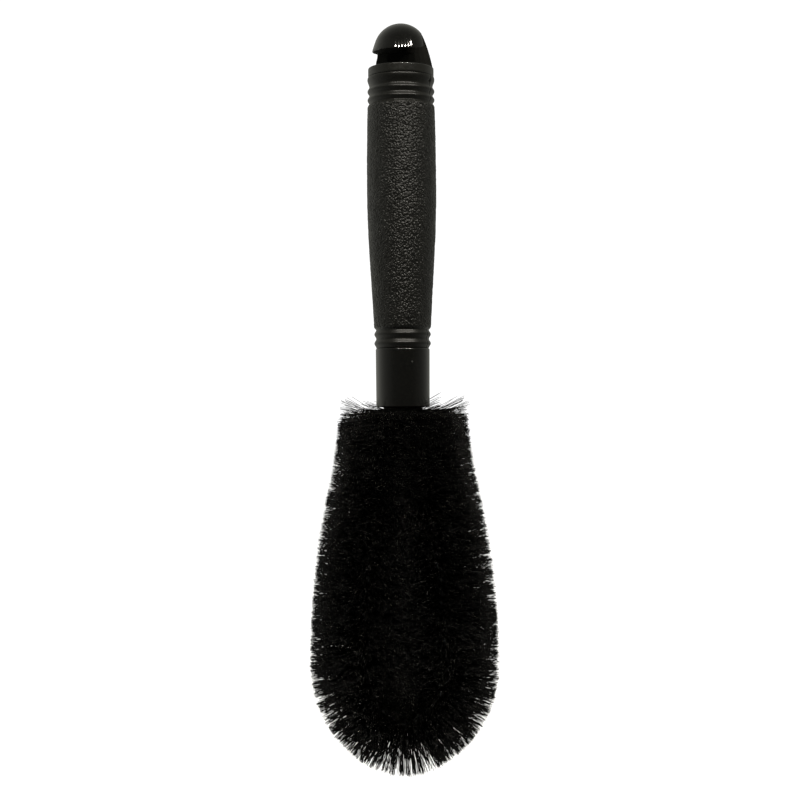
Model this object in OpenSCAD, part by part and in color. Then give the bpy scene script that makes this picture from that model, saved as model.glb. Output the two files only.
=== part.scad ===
// Wheel brush: bristles on a loop of twisted wire, in a hollow handle with a soft grip.
//
// +Z runs up the handle, the loop of bristles lies in the XZ plane and the front faces -Y.
// The origin is on the handle's axis at the underside of the cap's crown, where a peg carries
// the brush, so nearly all of it lies below z = 0. Depths are measured downwards.

/* [Hook cap] */
// Radius of the crown of the cap
crown_r = 10.8; // [10.4:0.1:11.2]
// Wall thickness of the cap
cap_wall = 2.1; // [1.6:0.1:2.4]
// Depth from the underside of the crown to the floor of the hook slot
cap_hollow_h = 15.8; // [14.5:0.1:17]
// Height of the solid ring at the base of the cap
cap_base_h = 3.7; // [2.6:0.1:4.5]
// Radius of the base ring of the cap
cap_base_r = 13.1; // [12.9:0.05:13.3]
// Height of the slot across the front of the cap, at the cap's axis
front_slot_h = 6.6; // [5:0.1:7.5]
// Angle at which the lip of the hood above the slot rises towards the back
lip_tilt = 4; // [1:0.5:6]
// Angle that the slot runs round the cap, from its right side past the front and the left
front_slot_angle = 214; // [200:1:235]
// Depth of the top of the hook slot below the underside of the crown
hook_slot_top = 1.8; // [1.4:0.1:2.6]
// Radius of the round top of the hook slot, where the peg sits
hook_seat_r = 3.3; // [2.8:0.1:3.6]
// How far the hook slot reaches forward where its edge turns into the lip of the hood
hook_slot_reach = 6.7; // [5.5:0.1:7.5]
// Slope of the lip of the hood where it turns up into the hook slot
lip_slope = 23; // [15:1:35]
// Length of the plug that holds the cap in the handle
cap_plug_len = 14; // [8:1:20]

/* [Grip] */
// Length of the soft grip with its ribs
grip_len = 108; // [100:0.5:120]
// Radius of the grip where it is fullest
grip_swell_r = 13.9; // [13.6:0.1:14.4]
// Depth of the fullest place below the top of the grip
grip_swell_depth = 43.9; // [36:0.1:50]
// How much the radius falls from the fullest place to the top edge
grip_top_fall = 0.8; // [0.5:0.1:1]
// How much the radius falls from the fullest place to the waist
grip_waist_fall = 2.9; // [2.2:0.1:3.1]
// Thickness of the soft grip under its grain
grip_wall = 2.2; // [1.6:0.1:2.4]
// Wall thickness of the stiff core under the grip
core_wall = 2; // [1.6:0.1:2.2]
// Distance from groove to groove in the ribs at the top of the grip
upper_rib_pitch = 3.4; // [3:0.1:3.8]
// Distance from groove to groove in the ribs at the bottom of the grip
lower_rib_pitch = 3.65; // [3:0.05:4]
// Depth of the grooves between the ribs
groove_depth = 0.75; // [0.4:0.05:0.9]

/* [Collar and socket] */
// Radius of the collar
collar_r = 10.8; // [10.6:0.1:11.2]
// Length of the collar
collar_len = 23.6; // [20:0.2:30]
// Wall thickness of the collar
collar_wall = 1.9; // [1.6:0.1:2.2]
// Length of the socket's plug inside the core
socket_plug_len = 14; // [8:1:20]
// Diameter of the pin that holds the collar on the socket
lock_pin_d = 1.6; // [1.2:0.1:2.4]
// Depth of the pin below the top of the collar
lock_pin_depth = 5.7; // [4:0.1:12]
// Angle of the pin round the collar, from the front towards the right
lock_pin_angle = 17; // [0:1:25]

/* [Stem] */
// Diameter of each of the two twisted wires
wire_d = 2; // [1.6:0.1:2.2]
// Length of stem for one full turn of the twist
twist_pitch = 10; // [9:0.5:14]
// Distance from the handle's axis to each leg of the stem at the collar
leg_offset = 4.8; // [4.6:0.1:5.2]
// Length of each stem end that sits in the socket
stem_end_len = 18; // [12:1:20]
// Angle to which the legs spread below the collar
splay_angle = 13; // [10:0.5:14]
// Bend radius of the legs where they spread
splay_bend_r = 142; // [130:1:160]
// Bend radius of the long sides of the loop
side_bend_r = 310; // [280:5:320]
// Bend radius of the stem at the far end of the loop
tip_bend_r = 7; // [6:0.5:9]

/* [Bristles] */
// Length of the bristles outside the stem's centre line
bristle_r = 21.5; // [20:0.1:22]
// Length of the head, from the collar to the tips of the bristles
head_len = 147.5; // [145:0.5:152]
// Bare length of stem between the collar and the first bristles
bare_len = 1.8; // [1.2:0.1:4]

/* [Hidden] */

$fn = 96;
steps = 12;          // points along each curved stretch of an outline
edge = 0.3;          // small chamfer on the moulded edges
clearance = 0.02;    // gap round a part that is pushed into a hole
reach = 60;          // larger than the whole cross-section, for cutting shapes

// Heights of the joints along the handle
cap_bottom_z = -cap_hollow_h - cap_base_h;
collar_top_z = cap_bottom_z - grip_len;
collar_bottom_z = collar_top_z - collar_len;

// Outline of the cap: a round crown and a flatter flank that meet without a corner
crown_z = cap_wall - crown_r;
flank_r = 66;
flank_angle = 20;
flank_x = (crown_r - flank_r) * cos(flank_angle);
flank_z = crown_z + (crown_r - flank_r) * sin(flank_angle);
flank_end_angle = asin((-cap_hollow_h - flank_z) / flank_r);
rim_z = -cap_hollow_h + front_slot_h;
slot_middle_z = rim_z - front_slot_h / 2;
lip_rise = 0.85;     // how much the lip rises to where it turns up into the hook slot
lip_corner_z = rim_z + lip_rise;
spine_y = 1.6;       // where the hook slot ends against the back wall of the cap
seat_y = spine_y - hook_seat_r;
seat_z = -hook_slot_top - hook_seat_r;
cap_plug_r = 8.8;
cap_plug_wall = 2;

// Ribs of the grip, as depths below its top
first_groove = 3.9;
first_rib_share = 0.65;  // the first rib is cut off by the top edge, so only this much shows
upper_rib_end = first_groove + 2 * upper_rib_pitch;
lower_rib_start = grip_len - 2 * lower_rib_pitch;
rib_r = 13.4;
lower_rib_r = 11.3;
shoulder = 1.4;      // length over which the grained part rises from a groove
waist_share = 0.69;  // share of the grip's length over which it narrows to the waist

// Radii of the nested parts at the collar
collar_bore_r = collar_r - collar_wall;
socket_r = collar_bore_r - clearance;
socket_plug_r = 6.9;
lip_h = 1.5;         // inward lip that closes the collar's lower end
lip_r = 7.9;
socket_end_h = bare_len - 0.5;  // how far the socket stands out below the collar
ferrule_hole_r = 3.2;
ferrule_r = ferrule_hole_r - clearance;
strand_gap = 0.2;    // space between the two wires, which the filaments fill
strand_offset = wire_d / 2 + strand_gap / 2;
stem_clear_r = wire_d + strand_gap + 0.2;
strand_sides = 6;
rings_per_turn = 8;
ferrule_top_z = collar_bottom_z + stem_end_len + 1;
lock_pin_len = 7.5;

// Centre line of the right half of the stem, which the left half mirrors
bend_z = collar_bottom_z - bare_len;
side_x = leg_offset + (splay_bend_r + side_bend_r) * (1 - cos(splay_angle));
side_z = bend_z - (splay_bend_r + side_bend_r) * sin(splay_angle);
tip_drop = head_len + side_z - collar_bottom_z - bristle_r;
tip_center_drop = tip_drop - tip_bend_r;
turn_bend_r = (side_x * side_x + tip_center_drop * tip_center_drop - tip_bend_r * tip_bend_r)
    / (2 * (side_x - tip_bend_r));
turn_angle = asin(tip_center_drop / (turn_bend_r - tip_bend_r));
tip_z = side_z - tip_center_drop;
end_z = ferrule_top_z - 1;

// Lengths of the straight end and of each bend, and the distance at which each one ends
straight_end = end_z - bend_z;
splay_end = straight_end + splay_bend_r * splay_angle * PI / 180;
side_end = splay_end + side_bend_r * splay_angle * PI / 180;
turn_end = side_end + turn_bend_r * turn_angle * PI / 180;
stem_half = turn_end + tip_bend_r * (90 - turn_angle) * PI / 180;
ring_count = 2 * floor(stem_half * rings_per_turn / twist_pitch);

// A point of an arc, with its radius, centre and angle
function arc_point(r, x, z, angle) = [x + r * cos(angle), z + r * sin(angle)];

// Angle in degrees that a length makes on a bend
function bend_angle(length, r) = length / r * 180 / PI;

// Outline of the cap from the axis to the slot floor, moved inwards by an inset
function cap_outline(inset) = concat(
    [for (i = [0:steps - 1])
        arc_point(crown_r - inset, 0, crown_z, 90 - (90 - flank_angle) * i / steps)],
    [for (i = [0:steps])
        arc_point(flank_r - inset, flank_x, flank_z,
            flank_angle + (flank_end_angle - flank_angle) * i / steps)]
);

// Radius of the grip without its ribs, at a depth below its top
function grip_radius(depth) = depth < grip_swell_depth
    ? grip_swell_r - grip_top_fall * pow(1 - depth / grip_swell_depth, 2)
    : grip_swell_r - grip_waist_fall / 2
        * (1 - cos(180 * (depth - grip_swell_depth) / (grip_len * waist_share)));

// Outer and inner radius of the core, which the grip is moulded on
function core_radius(depth) = grip_radius(depth) - grip_wall;
function core_bore(depth) = core_radius(depth) - core_wall;

// Radius and depth at a share of the way down a wave-shaped rib between two grooves
function rib_point(start, pitch, top_r, share) =
    [top_r - groove_depth * (1 + cos(360 * share)) / 2, start + pitch * share];

// Points along a rib that rises from one groove and falls to the next
function rib(start, pitch, top_r) =
    [for (i = [0:steps - 1]) rib_point(start, pitch, top_r, i / steps)];

// Points along the first rib, from the top edge of the grip to the first groove
function first_rib() =
    let (pitch = first_groove / first_rib_share)
    [for (i = [0:steps - 1])
        rib_point(first_groove - pitch, pitch, rib_r, 1 - first_rib_share * (1 - i / steps))];

// Radius and depth along the shoulder between a groove and the grained grip
function grip_shoulder(groove, way) = [for (i = [0:steps])
    let (depth = groove + way * shoulder * i / steps)
    [grip_radius(groove) - groove_depth * (1 - sin(90 * i / steps)), depth]];

// Centre line: position, as x and z, and heading below the X axis of the right half of the stem
function half_stem(s) =
    s < straight_end ? [leg_offset, end_z - s, 90]
    : s < splay_end
        ? let (a = bend_angle(s - straight_end, splay_bend_r))
          concat(arc_point(splay_bend_r, leg_offset + splay_bend_r, bend_z, 180 + a), [90 - a])
    : s < side_end
        ? let (a = bend_angle(side_end - s, side_bend_r))
          concat(arc_point(side_bend_r, side_x - side_bend_r, side_z, a), [90 - a])
    : s < turn_end
        ? let (a = bend_angle(s - side_end, turn_bend_r))
          concat(arc_point(turn_bend_r, side_x - turn_bend_r, side_z, -a), [90 + a])
    : let (a = turn_angle + bend_angle(s - turn_end, tip_bend_r))
      concat(arc_point(tip_bend_r, 0, tip_z, -a), [90 + a]);

// The whole stem: down the right leg, round the tip and up the left leg
function stem(s) = s <= stem_half
    ? half_stem(s)
    : let (p = half_stem(2 * stem_half - s)) [-p[0], p[1], 360 - p[2]];

// One corner of a twisted wire: the wire's centre circles the stem, its corners circle that
function strand_point(s, phase, corner) =
    let (p = stem(s),
         twist = 360 * s / twist_pitch + phase,
         side = strand_offset * cos(twist) + wire_d / 2 * cos(corner),
         depth = strand_offset * sin(twist) + wire_d / 2 * sin(corner))
    [p[0] + side * sin(p[2]), depth, p[1] + side * cos(p[2])];

module hook_cap() {
    plug_bottom_z = cap_bottom_z - cap_plug_len;
    hollow = cap_outline(cap_wall);
    color("#101010")
    difference() {
        rotate_extrude() polygon(concat(
            cap_outline(0),
            [[cap_base_r, -cap_hollow_h - edge],
             [cap_base_r, cap_bottom_z + edge],
             [cap_base_r - edge, cap_bottom_z],
             [cap_plug_r, cap_bottom_z],
             [cap_plug_r, plug_bottom_z],
             [cap_plug_r - cap_plug_wall, plug_bottom_z],
             [cap_plug_r - cap_plug_wall, cap_bottom_z],
             [0, cap_bottom_z],
             [0, -cap_hollow_h]],
            [for (i = [len(hollow) - 1:-1:0]) hollow[i]]
        ));
        union() {
            front_slot();
            hook_slot();
        }
    }
}

// Slot from the right side of the cap, across the front and past the left side: its floor is
// level and its top rises towards the back
module front_slot() {
    left_end = front_slot_angle - 180;
    intersection() {
        translate([0, 0, -cap_hollow_h])
        linear_extrude(height = reach)
        polygon([
            [crown_r / 2, spine_y],
            [reach, spine_y],
            [reach, -reach],
            [-reach, -reach],
            [-reach, reach * tan(left_end)],
            [-crown_r / 2, crown_r / 2 * tan(left_end)]
        ]);
        translate([0, 0, rim_z])
        rotate([lip_tilt, 0, 0])
        translate([0, 0, -reach])
        cube(2 * [reach * 2, reach * 2, reach], center = true);
    }
}

// Slot that climbs the right side of the hood and ends under the crown, where the peg rests
module hook_slot() {
    rotate([90, 0, 90])
    linear_extrude(height = reach)
    union() {
        translate([seat_y, seat_z]) circle(r = hook_seat_r);
        polygon([
            [spine_y, slot_middle_z],
            [spine_y, seat_z],
            [spine_y - 2 * hook_seat_r, seat_z],
            [-hook_slot_reach, lip_corner_z],
            [-hook_slot_reach - (lip_corner_z - slot_middle_z) / tan(lip_slope), slot_middle_z]
        ]);
    }
}

module handle_core() {
    outside = [for (i = [0:2 * steps]) grip_len * i / (2 * steps)];
    hollow_len = grip_len - cap_plug_len - socket_plug_len;
    inside = [for (i = [0:2 * steps]) cap_plug_len + hollow_len * i / (2 * steps)];
    color("#1c1c1c")
    translate([0, 0, cap_bottom_z])
    difference() {
        rotate_extrude() polygon(concat(
            [[0, 0]],
            [for (depth = outside) [core_radius(depth), -depth]],
            [[0, -grip_len]]
        ));
        rotate_extrude() polygon(concat(
            [[0, edge], [cap_plug_r + clearance, edge], [cap_plug_r + clearance, -cap_plug_len]],
            [for (depth = inside) [core_bore(depth), -depth]],
            [[socket_plug_r, -grip_len + socket_plug_len], [socket_plug_r, -grip_len - edge],
             [0, -grip_len - edge]]
        ));
    }
}

module grip_sleeve() {
    grained = [for (i = [1:2 * steps - 1])
        let (from = upper_rib_end + shoulder, to = lower_rib_start - shoulder)
        from + (to - from) * i / (2 * steps)];
    bore = [for (i = [2 * steps:-1:0]) grip_len * i / (2 * steps)];
    lower_shoulder = grip_shoulder(lower_rib_start, -1);
    profile = concat(
        first_rib(),
        rib(first_groove, upper_rib_pitch, rib_r),
        rib(first_groove + upper_rib_pitch, upper_rib_pitch, rib_r),
        grip_shoulder(upper_rib_end, 1),
        [for (depth = grained) [grip_radius(depth), depth]],
        [for (i = [steps:-1:1]) lower_shoulder[i]],
        rib(lower_rib_start, lower_rib_pitch, lower_rib_r),
        rib(lower_rib_start + lower_rib_pitch, lower_rib_pitch, lower_rib_r),
        [[lower_rib_r - groove_depth, grip_len]],
        [for (depth = bore) [core_radius(depth), depth]]
    );
    color("#262624")
    translate([0, 0, cap_bottom_z])
    rotate_extrude()
    polygon([for (p = profile) [p[0], -p[1]]]);
}

module collar() {
    chamfer = 2 * edge;
    color("#0c0c0c")
    difference() {
        translate([0, 0, collar_bottom_z])
        rotate_extrude() polygon([
            [lip_r, 0],
            [collar_r - edge, 0],
            [collar_r, edge],
            [collar_r, collar_len - chamfer],
            [collar_r - chamfer, collar_len],
            [collar_bore_r, collar_len],
            [collar_bore_r, lip_h],
            [lip_r, lip_h]
        ]);
        lock_pin_rod(lock_pin_d / 2 + clearance);
    }
}

module stem_socket() {
    color("#303030")
    difference() {
        union() {
            translate([0, 0, collar_bottom_z - socket_end_h])
            cylinder(r = lip_r - clearance, h = socket_end_h + lip_h + edge);
            translate([0, 0, collar_bottom_z + lip_h]) cylinder(r = socket_r, h = collar_len - lip_h);
            translate([0, 0, collar_top_z - edge])
            cylinder(r = socket_plug_r - clearance, h = socket_plug_len + edge);
        }
        for (side = [-1, 1])
            translate([side * leg_offset, 0, collar_bottom_z - socket_end_h - edge])
            cylinder(r = ferrule_hole_r, h = ferrule_top_z - collar_bottom_z + socket_end_h + edge);
        lock_pin_rod(lock_pin_d / 2 + clearance);
    }
}

module lock_pin() {
    color("#3a3a3a") lock_pin_rod(lock_pin_d / 2);
}

// Radial rod from the collar's surface inwards
module lock_pin_rod(r) {
    translate([0, 0, collar_top_z - lock_pin_depth])
    rotate([0, 0, lock_pin_angle])
    rotate([90, 0, 0])
    translate([0, 0, collar_r - lock_pin_len])
    cylinder(r = r, h = lock_pin_len);
}

// Sleeve crimped on one end of the stem
module ferrule(side) {
    length = stem_end_len - 1;
    color("silver")
    translate([side * leg_offset, 0, ferrule_top_z - length])
    difference() {
        cylinder(r = ferrule_r, h = length);
        translate([0, 0, -edge]) cylinder(r = stem_clear_r - strand_gap, h = length + 2 * edge);
    }
}

// One of the two wires, swept along the stem as a tube with flat sides
module strand(phase) {
    rings = [for (i = [0:ring_count])
        for (k = [0:strand_sides - 1])
            strand_point(2 * stem_half * i / ring_count, phase, 360 * k / strand_sides)];
    walls = [for (i = [0:ring_count - 1])
        for (k = [0:strand_sides - 1])
            let (next = (k + 1) % strand_sides, here = i * strand_sides, below = here + strand_sides)
            [here + k, below + k, below + next, here + next]];
    top = [for (k = [0:strand_sides - 1]) k];
    bottom = [for (k = [strand_sides - 1:-1:0]) ring_count * strand_sides + k];
    color("silver")
    polyhedron(points = rings, faces = concat([top], walls, [bottom]), convexity = 10);
}

// Bundle of bristles round a bend of the right leg, between two angles on that bend
module bristle_bend(center_x, center_z, r, from, to) {
    intersection() {
        translate([center_x, 0, center_z])
        rotate([90, 0, 0])
        rotate([0, 0, from])
        rotate_extrude(angle = to - from)
        intersection() {
            difference() {
                translate([r, 0]) circle(r = bristle_r);
                translate([r, 0]) circle(r = stem_clear_r);
            }
            translate([0, -reach]) square([r + reach, 2 * reach]);
        }
        translate([clearance, -reach, -reach * 6]) cube([reach * 2, reach * 2, reach * 6]);
    }
}

// The six bundles of the right leg, from the collar to the tip of the loop
module bristle_bundle(n) {
    half = splay_angle / 2;
    if (n <= 2)
        bristle_bend(leg_offset + splay_bend_r, bend_z, splay_bend_r,
            180 + half * (n - 1), 180 + half * n);
    else if (n <= 4)
        bristle_bend(side_x - side_bend_r, side_z, side_bend_r, half * (4 - n), half * (5 - n));
    else if (n == 5)
        bristle_bend(side_x - turn_bend_r, side_z, turn_bend_r, -turn_angle, 0);
    else
        bristle_bend(0, tip_z, tip_bend_r, -90, -turn_angle);
}

module bristles_right(n) {
    color(n % 2 == 0 ? "#181818" : "#202020") bristle_bundle(n);
}

module bristles_left(n) {
    color(n % 2 == 0 ? "#202020" : "#181818") mirror([1, 0, 0]) bristle_bundle(n);
}

hook_cap();
handle_core();
grip_sleeve();
collar();
stem_socket();
lock_pin();
ferrule(-1);  // ferrule_left
ferrule(1);  // ferrule_right
strand(0);  // strand_a
strand(180);  // strand_b
for (n = [1:6]) {
    bristles_left(n);
    bristles_right(n);
}
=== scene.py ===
"""Looks of the wheel brush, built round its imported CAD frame. Lengths are in millimetres."""

import math

import bmesh
import bpy
import numpy as np
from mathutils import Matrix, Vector, noise


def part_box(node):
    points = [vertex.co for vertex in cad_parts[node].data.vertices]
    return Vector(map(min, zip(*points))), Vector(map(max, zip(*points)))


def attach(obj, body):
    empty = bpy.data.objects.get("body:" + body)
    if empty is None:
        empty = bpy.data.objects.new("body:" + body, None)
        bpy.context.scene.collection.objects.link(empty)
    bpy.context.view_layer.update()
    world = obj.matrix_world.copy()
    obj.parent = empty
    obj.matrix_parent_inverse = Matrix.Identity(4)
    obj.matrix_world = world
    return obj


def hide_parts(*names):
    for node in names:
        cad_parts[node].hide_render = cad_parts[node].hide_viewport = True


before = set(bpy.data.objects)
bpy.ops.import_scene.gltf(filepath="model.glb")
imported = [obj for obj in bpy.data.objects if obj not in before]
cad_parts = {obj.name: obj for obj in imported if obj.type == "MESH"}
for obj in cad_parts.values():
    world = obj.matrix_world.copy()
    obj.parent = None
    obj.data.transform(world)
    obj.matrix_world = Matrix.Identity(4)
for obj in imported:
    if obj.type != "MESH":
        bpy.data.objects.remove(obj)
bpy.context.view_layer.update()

MM = 0.001
BODY = "root"
SEED = 20
rng = np.random.default_rng(SEED)


# ---------------------------------------------------------------- places, from the frame


def node_box(node):
    """Lowest and highest corners of a CAD node, in millimetres."""
    low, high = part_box(node)
    return np.array(low) / MM, np.array(high) / MM


cap_low, cap_high = node_box("hook_cap")
grip_low, grip_high = node_box("grip_sleeve")
collar_low, collar_high = node_box("collar")
pin_low, pin_high = node_box("lock_pin")
bristle_low, _ = node_box("bristles_right_6")


# ---------------------------------------------------------------- shape and grain of the grip


# As in the CAD model.
GRIP_SWELL_R = 13.9
GRIP_SWELL_DEPTH = 43.9
GRIP_TOP_FALL = 0.8
GRIP_WAIST_FALL = 2.9
GRIP_WAIST_SHARE = 0.69
GRIP_WALL = 2.2
RIB_R = 13.4
LOWER_RIB_R = 11.3
FIRST_GROOVE = 3.9
FIRST_RIB_SHARE = 0.65
UPPER_RIB_PITCH = 3.4
LOWER_RIB_PITCH = 3.65
GROOVE_DEPTH = 0.75
SHOULDER = 1.4

# Modelled grain, which gives the skin its uneven swell.
GRAIN_SIZE = 1.35
GRAIN_SIZE_SPREAD = 0.25
GRAIN_DEPTH = 0.18
GRAIN_MIDDLE = 0.75
GRAIN_STEEPNESS = 1.7
GRAIN_DRIFT = 0.5

# Fine wrinkles, which are in the material.
WRINKLE_SIZE = 0.84
WRINKLE_DRIFT = 0.45
WRINKLE_HEIGHT = 0.38

# Marks left by the mould.
PARTING_ANGLE = math.radians(61)
PARTING_WIDTH = math.radians(1.6)
PARTING_DEPTH = 0.22
NOTCH_DEPTH_BELOW_TOP = 2.5
NOTCH_R = 1.15
NOTCH_SINK = 0.95
TOP_EDGE_R = 0.25

GRIP_COLUMNS = 278
GRIP_ROWS = 276
RIB_ROWS = 14
BORE_ROWS = 9

grip_len = grip_high[2] - grip_low[2]
grain_start = FIRST_GROOVE + 2 * UPPER_RIB_PITCH
grain_end = grip_len - 2 * LOWER_RIB_PITCH
grain_top_z = grip_high[2] - grain_start
grain_low_z = grip_high[2] - grain_end


# ---------------------------------------------------------------- mesh helpers


WELD_GAP = 0.001


def add_object(name, points, faces, material, replaced):
    """A smooth mesh object from points in millimetres, riding on the brush's one body."""
    mesh = bpy.data.meshes.new(name)
    mesh.from_pydata((np.asarray(points, float) * MM).tolist(), [], faces)
    mesh.validate()
    mesh.polygons.foreach_set("use_smooth", [True] * len(mesh.polygons))
    mesh.materials.append(material)
    obj = bpy.data.objects.new(name, mesh)
    bpy.context.scene.collection.objects.link(obj)
    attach(obj, BODY)
    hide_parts(*replaced)
    return obj


def grid_faces(rows, columns):
    """Quads of a grid of points whose columns close round an axis."""
    faces = []
    for i in range(rows - 1):
        a = i * columns
        b = a + columns
        for j in range(columns):
            k = (j + 1) % columns
            faces.append((a + j, b + j, b + k, a + k))
    return faces


def turned(profile, columns):
    """Points and faces of a closed profile of (radius, z) turned round the Z axis."""
    profile = np.asarray(profile, float)
    angles = np.linspace(0, 2 * math.pi, columns, endpoint=False)
    ring = np.stack([np.cos(angles), np.sin(angles)], axis=1)
    points = np.zeros((len(profile), columns, 3))
    points[:, :, :2] = profile[:, 0, None, None] * ring[None]
    points[:, :, 2] = profile[:, 1, None]
    faces = grid_faces(len(profile), columns)
    last = (len(profile) - 1) * columns
    for j in range(columns):
        k = (j + 1) % columns
        faces.append((last + j, j, k, last + k))
    return points.reshape(-1, 3), faces


def weld(obj):
    """Joins the points that fall together on the axis of a turned object."""
    build = bmesh.new()
    build.from_mesh(obj.data)
    bmesh.ops.remove_doubles(build, verts=build.verts, dist=WELD_GAP * MM)
    bmesh.ops.recalc_face_normals(build, faces=build.faces)
    build.to_mesh(obj.data)
    build.free()


def rounded(corners, radii, steps):
    """A closed profile whose corners are replaced by arcs of the radii given, one for each corner."""
    corners = np.asarray(corners, float)
    count = len(corners)
    out = []
    for i in range(count):
        before, here, after = corners[i - 1], corners[i], corners[(i + 1) % count]
        back = (before - here) / np.linalg.norm(before - here)
        ahead = (after - here) / np.linalg.norm(after - here)
        opening = math.acos(np.clip(back @ ahead, -1, 1))
        reach = radii[i] / math.tan(opening / 2)
        inward = (back + ahead) / np.linalg.norm(back + ahead)
        middle = here + inward * radii[i] / math.sin(opening / 2)
        start = here + back * reach
        end = here + ahead * reach
        first = math.atan2(*(start - middle)[::-1])
        turn = (math.atan2(*(end - middle)[::-1]) - first + math.pi) % (2 * math.pi) - math.pi
        for t in np.linspace(0, 1, steps):
            angle = first + turn * t
            out.append(middle + radii[i] * np.array([math.cos(angle), math.sin(angle)]))
    return np.array(out)


def dimpled(points, center, radius, depth):
    """Pushes the points near a place on the surface in towards the Z axis, in a round dimple."""
    gap = np.linalg.norm(points - center, axis=1) / radius
    near = gap < 1
    push = depth * (1 - gap[near] ** 2) ** 2
    flat = points[near, :2]
    points[near, :2] = flat * (1 - push / np.linalg.norm(flat, axis=1))[:, None]


def coordinates(items, name):
    """A vector property of a mesh's vertices or faces, one row for each."""
    values = np.empty(len(items) * 3)
    items.foreach_get(name, values)
    return values.reshape(-1, 3)


# ---------------------------------------------------------------- material helpers


def new_material(name, color, roughness, metallic=0.0, ior=1.5):
    """A node material with one Principled shader, its node tree and that shader."""
    material = bpy.data.materials.new(name)
    material.use_nodes = True
    tree = material.node_tree
    shader = tree.nodes["Principled BSDF"]
    shader.inputs["Base Color"].default_value = (*color, 1)
    shader.inputs["Roughness"].default_value = roughness
    shader.inputs["Metallic"].default_value = metallic
    shader.inputs["IOR"].default_value = ior
    return material, tree, shader


def object_coordinates(tree, squeeze=(1, 1, 1)):
    """Object coordinates in millimetres, squeezed along the axes, which draws a texture out."""
    place = tree.nodes.new("ShaderNodeTexCoord")
    scale = tree.nodes.new("ShaderNodeVectorMath")
    scale.operation = "MULTIPLY"
    scale.inputs[1].default_value = tuple(s / MM for s in squeeze)
    tree.links.new(place.outputs["Object"], scale.inputs[0])
    return scale.outputs[0]


def noise_value(tree, where, size, detail=3.0, roughness=0.55):
    """Noise whose features are about this many millimetres across."""
    node = tree.nodes.new("ShaderNodeTexNoise")
    node.inputs["Scale"].default_value = 1 / size
    node.inputs["Detail"].default_value = detail
    node.inputs["Roughness"].default_value = roughness
    tree.links.new(where, node.inputs["Vector"])
    return node.outputs["Fac"]


def remap(tree, value, source, target):
    """The value moved from the source range to the target range, and held inside it."""
    node = tree.nodes.new("ShaderNodeMapRange")
    node.inputs["From Min"].default_value = source[0]
    node.inputs["From Max"].default_value = source[1]
    node.inputs["To Min"].default_value = target[0]
    node.inputs["To Max"].default_value = target[1]
    tree.links.new(value, node.inputs["Value"])
    return node.outputs["Result"]


def color_between(tree, value, low, high):
    """A colour that runs from low to high, colours or outputs, as the value goes from 0 to 1."""
    node = tree.nodes.new("ShaderNodeMix")
    node.data_type = "RGBA"
    tree.links.new(value, node.inputs["Factor"])
    for end, color in (("A", low), ("B", high)):
        if isinstance(color, tuple):
            node.inputs[end].default_value = (*color, 1)
        else:
            tree.links.new(color, node.inputs[end])
    return node.outputs["Result"]


def combined(tree, operation, values):
    """The values added or multiplied together."""
    total = values[0]
    for value in values[1:]:
        node = tree.nodes.new("ShaderNodeMath")
        node.operation = operation
        tree.links.new(total, node.inputs[0])
        tree.links.new(value, node.inputs[1])
        total = node.outputs[0]
    return total


def bumped(tree, shader, heights, height_mm):
    """Drives the shader's normal with the sum of the heights; one of 1 is this many millimetres."""
    bump = tree.nodes.new("ShaderNodeBump")
    bump.inputs["Strength"].default_value = 1.0
    bump.inputs["Distance"].default_value = height_mm * MM
    tree.links.new(combined(tree, "ADD", heights), bump.inputs["Height"])
    tree.links.new(bump.outputs["Normal"], shader.inputs["Normal"])


# ---------------------------------------------------------------- materials


def gloss_plastic():
    """Glossy black polypropylene: faint flow marks, wiped dust and fine handling scratches."""
    clean, dusty = (0.005, 0.005, 0.0045), (0.010, 0.010, 0.0085)
    material, tree, shader = new_material("gloss_black_plastic", clean, 0.08)
    where = object_coordinates(tree)
    smears = noise_value(tree, object_coordinates(tree, (1, 1, 0.35)), size=6, detail=4)
    tree.links.new(remap(tree, smears, (0.35, 0.7), (0.05, 0.09)), shader.inputs["Roughness"])
    dust = remap(tree, noise_value(tree, where, size=0.8, detail=5), (0.45, 0.75), (0, 1))
    tree.links.new(color_between(tree, dust, clean, dusty), shader.inputs["Base Color"])
    waves = remap(tree, noise_value(tree, where, size=4, detail=1), (0, 1), (0, 0.4))
    peel = remap(tree, noise_value(tree, where, size=0.7, detail=2), (0, 1), (0, 0.05))
    rubs = noise_value(tree, object_coordinates(tree, (6, 6, 0.4)), size=1.2, detail=2)
    scratches = remap(tree, rubs, (0.64, 0.7), (0, -0.05))
    bumped(tree, shader, [waves, peel, scratches], height_mm=0.05)
    return material


def grained_share(tree, where):
    """1 on the grained part of the grip and 0 on its smooth ribs, with a soft change at each shoulder."""
    height = tree.nodes.new("ShaderNodeSeparateXYZ")
    tree.links.new(where, height.inputs[0])
    below = remap(tree, height.outputs["Z"], (grain_top_z - SHOULDER, grain_top_z), (1, 0))
    above = remap(tree, height.outputs["Z"], (grain_low_z, grain_low_z + SHOULDER), (0, 1))
    return combined(tree, "MULTIPLY", [below, above])


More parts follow.
